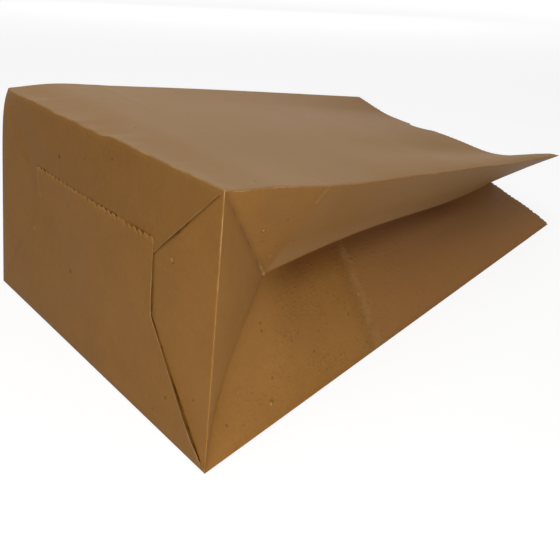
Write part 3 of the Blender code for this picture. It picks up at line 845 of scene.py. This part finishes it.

# The creases and rubbed edges: start, end, half width of the line and width of the band, how much lighter and
# darker the line is, and how much darker the band is. The lighter lines are wear, some of them painted
# highlights; the darker lines and bands are painted shade in valley creases, beside folds and under flap edges
CREASES = (
    ((W, 0), (W + D, 0), 0.0056, 0.02, 0.14, 0, 0),
    ((W + D, 0), (W + D - 0.25, 0), 0.006, 0.02, 0.55, 0, 0),
    ((W + D, 0), (W + D, D / 2), 0.0055, 0.02, 0.55, 0, 0),
    ((W + D, 0), (W + D + 0.38, 0), 0.0065, 0.02, 0.6, 0, 0),
    # the rows with a darker band paint shade beside the fold: the bottom's edges and the lower folds along the
    # tube
    ((0, 0), (W, 0), 0.004, 0.03, 0.2, 0, 0.12),
    ((W + D, 0), (2 * W + D, 0), 0.0045, 0.02, 0.34, 0, 0),
    ((2 * W + D, 0), (2 * W + 2 * D, 0), 0.0045, 0.02, 0.4, 0, 0.04),
    ((W, 0), (W, L), 0.004, 0.03, 0.15, 0, 0.12),
    ((W + D, 0), (W + D, L), 0.005, 0.02, 0.3, 0, 0),
    ((2 * W + D, 0), (2 * W + D, L), 0.004, 0.02, 0.34, 0, 0),
    ((0, 0), (0, L), 0.004, 0.03, 0.15, 0, 0.12),
    ((2 * W + 2 * D, 0), (2 * W + 2 * D, L), 0.004, 0.03, 0.15, 0, 0.12),
    # the gussets' diagonal creases: their darker lines and bands are painted shade in the valley folds
    ((W, 0), (W + D / 2, D / 2), 0.004, 0.04, 0, 0.1, 0.12),
    ((W + D - 0.006, 0), (W + D / 2 + 0.024, D / 2 - 0.03), 0.0075, 0.026, 0, 0.4, 0.22),
    # a painted highlight at the tucked corner's end of this crease
    ((W + D / 2 + 0.06, D / 2 - 0.06), (W + D / 2, D / 2), 0.0075, 0.02, 1.00, 0, 0),
    ((2 * W + D, 0), (2 * W + 1.5 * D - 0.03, D / 2 - 0.03), 0.006, 0.034, 0, 0.55, 0.3),
    ((2 * W + 2 * D, 0), (2 * W + 1.5 * D, D / 2), 0.004, 0.04, 0, 0.1, 0.12),
    # a painted highlight where the tucked corner's crease meets the top fold
    ((W + D, D / 2), (W + D - 0.065, D / 2), 0.011, 0.02, 1.00, 0, 0),
    ((W + D - 0.06, D / 2), (W + D / 2 + 0.16, D / 2), 0.008, 0.06, 0.07, 0, 0.05),
    ((2 * W + D, D / 2), (2 * W + D + 0.055, D / 2), 0.0065, 0.02, 0.75, 0, 0),
    ((2 * W + D + 0.055, D / 2), (2 * W + 1.5 * D - 0.14, D / 2), 0.008, 0.06, 0.16, 0, 0.04),
    ((W + D, D / 2), (W + D + 0.07, D / 2), 0.006, 0.06, 0.45, 0, 0),
    ((W + D + 0.07, D / 2), (2 * W + D, D / 2), 0.005, 0.06, 0.05, 0, 0),
    # a broad painted lighter band and a painted dark line beside it, for the light and shade of a soft cross
    # fold on the lower half
    ((W, D + 0.025), (W + D / 2, D + 0.025), 0.036, 0.01, 0.14, 0, 0),
    ((W, D - 0.012), (W + D / 2, D - 0.012), 0.008, 0.06, 0, 0.06, 0.12),
    ((2 * W + 1.5 * D, D), (2 * W + 2 * D, D), 0.008, 0.05, 0.1, 0, 0.1),
    ((0, D), (W, D), 0.008, 0.05, 0.1, 0, 0.1),
    ((FLAP_NEAR, -0.346), (FLAP_NEAR, FLAP_END), 0.004, 0.01, 0.5, 0, 0),
    ((W, 0), (FLAP_NEAR, -0.346), 0.004, 0.01, 0.3, 0, 0),
    ((0, 0), (FLAP_FAR, -0.405), 0.004, 0.01, 0.08, 0, 0),
    ((W + D, 0), (W + D + D / 2, -D / 2), 0.004, 0.01, 0.25, 0, 0),
    ((2 * W + D, 0), (2 * W + D / 2, -D / 2), 0.004, 0.01, 0.05, 0, 0),
    # painted shadows in the gaps under the flaps' slanted and near edges
    ((W + 0.03, -0.024), (W + 0.21, -0.16), 0.0068, 0.012, 0, 0.95, 0.25),
    ((W + 0.215, -0.163), (W + 0.346, -0.262), 0.0046, 0.01, 0, 0.85, 0.2),
    ((W + 0.355, -0.258), (W + 0.53, -0.26), 0.0045, 0.01, 0, 0.7, 0.2),
    ((W + D - 0.02, -0.018), (W + D - 0.155, -0.153), 0.0045, 0.01, 0, 0.6, 0.15),
    ((W + D - 0.16, -0.158), (W + D - 0.266, -0.264), 0.0055, 0.01, 0, 0.8, 0.2),
)

# Small marks in the paper: place, radius, and how dark (or, below zero, how light) each one is
MARKS = (
    ((2.860, -0.137), 0.009, 0.75),
    ((0.326, -0.480), 0.008, -0.14),
    ((0.280, -0.336), 0.010, -0.28),
    ((0.539, -0.508), 0.007, 0.30),
    ((0.556, -0.283), 0.009, 0.60),
    ((1.097, -0.133), 0.008, 0.50),
    ((1.814, -0.183), 0.008, -0.45),
    ((1.896, 0.243), 0.012, 0.40),
    ((1.896, 0.243), 0.006, -0.95),
    ((1.764, 0.362), 0.008, -0.35),
    ((1.808, 0.439), 0.006, 0.45),
    ((1.326, 0.283), 0.011, 0.45),
    ((1.322, 0.280), 0.006, -0.70),
    ((1.335, 0.122), 0.006, 0.38),
    ((1.516, 0.330), 0.006, 0.40),
    ((1.431, 0.555), 0.006, 0.40),
    ((1.465, 0.809), 0.008, -0.40),
    ((1.425, 0.719), 0.007, 0.40),
    ((1.818, 0.900), 0.008, 0.55),
)

# Frayed lines like the creases: the lower flap's toothed edge, its far edge, and painted shade on the paper
# under its teeth
UNDER_TEETH = FLAP_END + D
CUT_EDGES = (
    ((FLAP_FAR, FLAP_END + 0.002), (FLAP_NEAR, FLAP_END + 0.002), 0.004, 0.01, 0.34, 0, 0),
    ((FLAP_FAR, -0.405), (FLAP_FAR, FLAP_END), 0.005, 0.01, 0.55, 0, 0),
    # painted shade on the paper under the teeth
    ((W + D + W - FLAP_NEAR, -UNDER_TEETH - 0.003), (W + D + W - FLAP_FAR, -UNDER_TEETH - 0.003),
     0.006, 0.01, 0, 0.95, 0),
)


# The paper's colours: the grain's two ends, the tints of regions, several of them painted light and sheen, and
# what is drawn over them, with painted shade and highlights among it
GRAIN_DEEP = (0.263, 0.119, 0.0255, 1)
GRAIN_PALE = (0.309, 0.141, 0.0315, 1)
# paler paper, and on the gusset's upper half a painted sheen
PALE_TONE_AND_SHEEN = (0.285, 0.146, 0.050, 1)
# a painted tint of the light and sheen on the top panel
TOP_LIGHT_TINT = (0.262, 0.130, 0.0245, 1)
# painted sheen on the top panel by its near fold
NEAR_FOLD_SHEEN = (0.37, 0.235, 0.10, 1)
# painted light on the facet by the gusset's lower corner
LOW_CORNER_LIGHT = (0.42, 0.195, 0.055, 1)
REDDER = (0.305, 0.134, 0.040, 1)
# painted light and sheen on the gusset's upper half
UPPER_HALF_LIGHT = (0.41, 0.235, 0.100, 1)
FLECK = (0.42, 0.25, 0.10, 1)
SPECK = (0.09, 0.040, 0.012, 1)
# painted shade in the gusset's middle crease
CREASE_SHADE = (0.105, 0.031, 0.0, 1)
DARK = (0.075, 0.022, 0.001, 1)
# a light colour for wear and for painted highlights
WEAR_AND_HIGHLIGHT = (0.50, 0.30, 0.125, 1)


class Regions:
    """Masks of the paper's regions, from 0 to 1, and the distances that they are made from."""

    def __init__(self, net, place):
        spot = net.node("ShaderNodeSeparateXYZ", {0: place}).outputs
        self.x = spot["X"]
        self.y = spot["Y"]
        self.from_middle = net.maths("ABSOLUTE", net.less(self.x, 1.5 * W + D))
        self.up_gusset = net.less(W / 2 + D, self.from_middle)
        self.top = net.times(
            net.ramp(self.from_middle, W / 2 - 0.02, W / 2, 1.0, 0.0), net.ramp(self.y, -0.01, 0.01))
        self.upper_flap = net.times(
            net.ramp(self.from_middle, W / 2 - 0.01, W / 2, 1.0, 0.0),
            net.ramp(self.y, -0.02, -0.01, 1.0, 0.0))
        upper_half = net.times(
            net.ramp(self.from_middle, W / 2, W / 2 + 0.01),
            net.ramp(self.from_middle, MIDDLE_CREASE - 0.01, MIDDLE_CREASE, 1.0, 0.0))
        self.upper_half = net.times(upper_half, net.ramp(self.y, D / 2 - 0.005, D / 2 + 0.02))
        self.lower_half = net.times(
            net.ramp(self.from_middle, MIDDLE_CREASE, MIDDLE_CREASE + 0.03),
            net.ramp(self.from_middle, W / 2 + D - 0.02, W / 2 + D, 1.0, 0.0))
        self.past_cross_crease = net.times(
            self.lower_half, net.ramp(self.y, D - 0.02, D + 0.08))
        self.low_corner = net.times(
            net.ramp(net.less(self.up_gusset, self.y), 0.0, 0.03),
            net.ramp(self.up_gusset, 0.15, D / 2 - 0.02, 1.0, 0.0), net.ramp(self.y, 0.0, 0.01))


def crease_wear_and_painted_light(net, place):
    """How light, how dark and how raised the paper is along its creases and at its marks: wear with painted
    highlights, marks, and painted shade in creases, gaps and notches.
    """
    crease_line = crease_line_group()
    wear_and_highlights = dark = ridge = 0.0
    rows = [(0.7, 0.8, row) for row in CREASES] + [(1.5, 0.9, row) for row in CUT_EDGES]
    for raggedness, fading, (start, end, half_width, band_width, lighter, *darker) in rows:
        inputs = {"Place": place, "Start": (*start, 0.0), "End": (*end, 0.0), "Half Width": half_width,
                  "Band Width": band_width, "Raggedness": raggedness, "Fading": fading}
        crease = net.node("ShaderNodeGroup", inputs, node_tree=crease_line).outputs
        if lighter:
            wear_and_highlights = net.maths("MAXIMUM", net.times(crease["Line"], lighter), wear_and_highlights)
            ridge = net.maths("MAXIMUM", crease["Line"], ridge)
        for part, strength in zip(("Line", "Band"), darker):
            if strength:
                dark = net.maths("MAXIMUM", net.times(crease[part], strength), dark)
    for spot, radius, strength in MARKS:
        away = net.vectors("DISTANCE", place, (*spot, 0.0))
        mark = net.ramp(away, radius * 0.4, radius, abs(strength), 0.0)
        if strength > 0:
            dark = net.maths("MAXIMUM", dark, mark)
        else:
            wear_and_highlights = net.maths("MAXIMUM", wear_and_highlights, mark)
    return wear_and_highlights, dark, ridge


def paper_colour(net, on, grain, wear_and_highlights, dark):
    """The grain's colour, with the regions' tints and painted light and sheen, the specks, the painted shadows
    and the wear and painted highlights over it.
    """
    # Paler paper: at random, towards the mouth off the top panel and past the lower half's cross crease; on the
    # gusset's upper half it is a painted sheen
    paler_and_sheen = net.times(net.ramp(grain["Warmth"], 0.3, 0.7), 0.20)
    by_mouth = net.times(net.ramp(on.y, 0.8, 2.4, 0.0, 0.25), net.less(1.0, on.top))
    sheen_and_tone_by_halves = (net.times(on.upper_half, 0.40), net.times(on.past_cross_crease, 0.15))
    for part in (by_mouth, *sheen_and_tone_by_halves):
        paler_and_sheen = net.maths("ADD", paler_and_sheen, part)
    # Painted sheen: the top panel is paler and greyer by its near fold and the bottom
    sheen_by_near_fold = net.times(
        net.ramp(on.x, W + D, W + D + 0.40, 0.30, 0.0), net.ramp(on.y, 0.3, 0.9, 1.0, 0.0), on.top)
    # Painted light on the gusset's upper half: lighter towards its middle crease, where it lifts the crease's
    # shade, and lighter and greyer towards the mouth, as a painted sheen
    light_by_crease = net.ramp(on.from_middle, MIDDLE_CREASE - 0.16, MIDDLE_CREASE)
    light_by_crease = net.maths("MULTIPLY_ADD", light_by_crease, 0.50, net.ramp(on.y, 0.45, 1.3, 0.0, 0.50))
    # Painted shade on the gusset's lower half: darkest just below its middle crease, fading away from it and
    # towards the mouth
    pocket_shade = net.maths(
        "ADD", net.ramp(on.from_middle, MIDDLE_CREASE + 0.002, MIDDLE_CREASE + 0.12, 0.72, 0.0),
        net.ramp(on.from_middle, MIDDLE_CREASE + 0.01, MIDDLE_CREASE + 0.30, 0.18, 0.0))
    pocket_shade = net.times(pocket_shade, net.maths("GREATER_THAN", on.from_middle, MIDDLE_CREASE + 0.001))
    deep = net.times(
        net.ramp(on.y, D / 2 - 0.12, D / 2 + 0.18), net.ramp(on.y, 1.6, 2.3, 1.0, 0.0))
    layers = (
        (paler_and_sheen, PALE_TONE_AND_SHEEN),
        # the top panel greener and less blue than the rest: a painted tint of the light and sheen on it
        (net.times(on.top, 0.80), TOP_LIGHT_TINT),
        (net.times(on.upper_flap, 0.09), DARK),
        (sheen_by_near_fold, NEAR_FOLD_SHEEN),
        # painted light on the facet by the gusset's lower corner
        (net.times(on.low_corner, 0.17), LOW_CORNER_LIGHT),
        (net.times(on.past_cross_crease, 0.5), REDDER),
        (net.times(light_by_crease, on.upper_half), UPPER_HALF_LIGHT),
        (net.times(grain["Flecks"], 0.25), FLECK),
        (net.times(grain["Specks"], 0.55), SPECK),
        (net.times(pocket_shade, deep), CREASE_SHADE),
        # the crease lines' painted shade and the dark marks
        (dark, DARK),
        (wear_and_highlights, WEAR_AND_HIGHLIGHT),
    )
    colour = net.mix(net.ramp(grain["Shade"], 0.1, 0.9), GRAIN_DEEP, GRAIN_PALE)
    for share, tint in layers:
        colour = net.mix(share, colour, tint)
    return colour


def paper_height(net, on, place, grain, ridge):
    """The height of the grain, of the lighter crease lines and of the pebbles on the gusset's lower half."""
    inputs = {"Place": place, "Scale": 80.0}
    pebbles = net.node("ShaderNodeGroup", inputs, node_tree=pebble_group()).outputs["Height"]
    by_bottom = net.times(on.lower_half, net.ramp(on.y, 0.7, 1.5, 1.0, 0.3))
    past_corner = net.ramp(net.less(on.y, on.up_gusset), 0.03, 0.16)
    patches = net.ramp(net.noise(place, 8.0), 0.36, 0.60, 0.25, 1.0)
    pebbles = net.times(pebbles, by_bottom, net.times(past_corner, patches))
    height = net.times(grain["Height"], 0.030)
    for part, strength in ((pebbles, 0.25), (ridge, 0.05)):
        height = net.maths("MULTIPLY_ADD", part, strength, height)
    return height


def kraft_paper():
    """Brown kraft paper with its grain, with light wear, painted highlights and painted shade along its
    creases, and with painted light and sheen on some regions.
    """
    material = bpy.data.materials.new("kraft_paper")
    material.use_nodes = True
    net = Net(material.node_tree)
    shader = material.node_tree.nodes["Principled BSDF"].inputs
    place = net.node("ShaderNodeUVMap", uv_map="paper").outputs["UV"]
    grain = net.node("ShaderNodeGroup", {"Place": place}, node_tree=paper_grain_group()).outputs
    wear_and_highlights, dark, ridge = crease_wear_and_painted_light(net, place)
    on = Regions(net, place)
    net.feed(shader["Base Color"], paper_colour(net, on, grain, wear_and_highlights, dark))
    rough = net.ramp(grain["Shade"], 0.2, 0.8, 0.57, 0.60)
    net.feed(shader["Roughness"], net.maths("MULTIPLY_ADD", wear_and_highlights, 0.2, rough))
    shader["Specular IOR Level"].default_value = 0.11
    height = paper_height(net, on, place, grain, ridge)
    relief = net.node("ShaderNodeBump", {"Strength": 1.0, "Distance": 1.0 * MM, "Height": height})
    net.feed(shader["Normal"], relief.outputs["Normal"])
    return material


def seen_directly(net):
    """1 where the camera sees something itself, in a reflection or through glass."""
    path = net.node("ShaderNodeLightPath").outputs
    seen = net.maths("MAXIMUM", path["Is Camera Ray"], path["Is Glossy Ray"])
    return net.maths("MAXIMUM", seen, path["Is Transmission Ray"])


def studio_floor():
    """A wide white floor that keeps the bag's soft shadow."""
    material = bpy.data.materials.new("white_floor")
    material.use_nodes = True
    net = Net(material.node_tree)
    shader = material.node_tree.nodes["Principled BSDF"].inputs
    shader["Base Color"].default_value = (0.25, 0.25, 0.25, 1)
    shader["Roughness"].default_value = 0.9
    shader["Specular IOR Level"].default_value = 0.0
    shader["Emission Color"].default_value = WHITE
    distance = net.vectors("LENGTH", net.node("ShaderNodeTexCoord").outputs["Object"])
    paleness = net.ramp(distance, 0.3, 2.5, 0.82, 1.0)
    net.feed(shader["Emission Strength"], net.times(seen_directly(net), paleness))
    mesh = bpy.data.meshes.new("floor")
    corners = [(x * FLOOR_REACH, y * FLOOR_REACH, 0) for x, y in ((-1, -1), (1, -1), (1, 1), (-1, 1))]
    mesh.from_pydata(corners, [], [(0, 1, 2, 3)])
    mesh.materials.append(material)
    floor = add_object("floor", mesh)
    floor.location.z = -0.2 * MM


def soft_light(name, place, target, size, power):
    """A square studio softbox that faces a point."""
    data = bpy.data.lights.new(name, "AREA")
    data.shape = "RECTANGLE"
    data.size, data.size_y = size
    data.energy = power
    light = add_object(name, data)
    light.visible_camera = False
    light.location = place
    light.rotation_euler = (Vector(target) - Vector(place)).to_track_quat("-Z", "Y").to_euler()


def studio_world():
    """Even white surroundings, bright where they are seen and faint as a light."""
    world = bpy.data.worlds.new("studio")
    bpy.context.scene.world = world
    world.use_nodes = True
    world.node_tree.nodes.clear()
    net = Net(world.node_tree)
    surroundings, backdrop = [
        net.node("ShaderNodeBackground", {"Color": WHITE, "Strength": strength}).outputs[0]
        for strength in (0.02, 1.0)
    ]
    inputs = {"Fac": seen_directly(net), 1: surroundings, 2: backdrop}
    chosen = net.node("ShaderNodeMixShader", inputs).outputs[0]
    net.node("ShaderNodeOutputWorld", {"Surface": chosen})


def camera():
    """The camera, at the photograph's viewing angle."""
    data = bpy.data.cameras.new("camera")
    data.sensor_width = 36
    data.lens = 581.0 / 560 * 36
    data.shift_x = 0.0641
    data.shift_y = -0.2223
    data.clip_start = 0.01
    data.clip_end = 50
    view = add_object("camera", data)
    ahead = Vector((-0.673, 0.670, -0.314)).normalized()
    right = ahead.cross(Vector((0, 0, 1))).normalized()
    up = right.cross(ahead)
    roll = math.radians(2.65)
    right_rolled = right * math.cos(roll) + up * math.sin(roll)
    up_rolled = right_rolled.cross(ahead)
    turn = Matrix((right_rolled, up_rolled, -ahead)).transposed()
    view.matrix_world = Matrix.Translation((0.1516, -0.2009, 0.1274)) @ turn.to_4x4()
    bpy.context.scene.camera = view


bag = build_bag(kraft_paper())
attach(bag, "root")
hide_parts("paper_bag")

studio_floor()
studio_world()
soft_light("overhead", (0.35, -0.6, 0.95), (0, 0, 0.04), (0.8, 0.8), 4.9)
soft_light("close_above", (0.0, -0.15, 0.6), (0, -0.1, 0.07), (0.5, 0.5), 0.9)
soft_light("behind", (-1.0, 0.9, 0.55), (0, 0, 0.05), (1.2, 0.8), 3.9)
soft_light("right", (1.0, 0.05, 0.35), (0.05, 0, 0.04), (0.8, 0.5), 1.6)
soft_light("front", (0.1, -1.1, 0.4), (0, -0.1, 0.04), (0.8, 0.5), 1.75)
soft_light("corner", (0.22, -0.22, 0.05), (0.06, -0.12, 0.02), (0.08, 0.08), 0.135)
soft_light("low_corner", (0.17, -0.17, 0.03), (0.06, -0.12, 0.02), (0.05, 0.05), 0.055)
camera()

bpy.context.scene.view_settings.view_transform = "Standard"
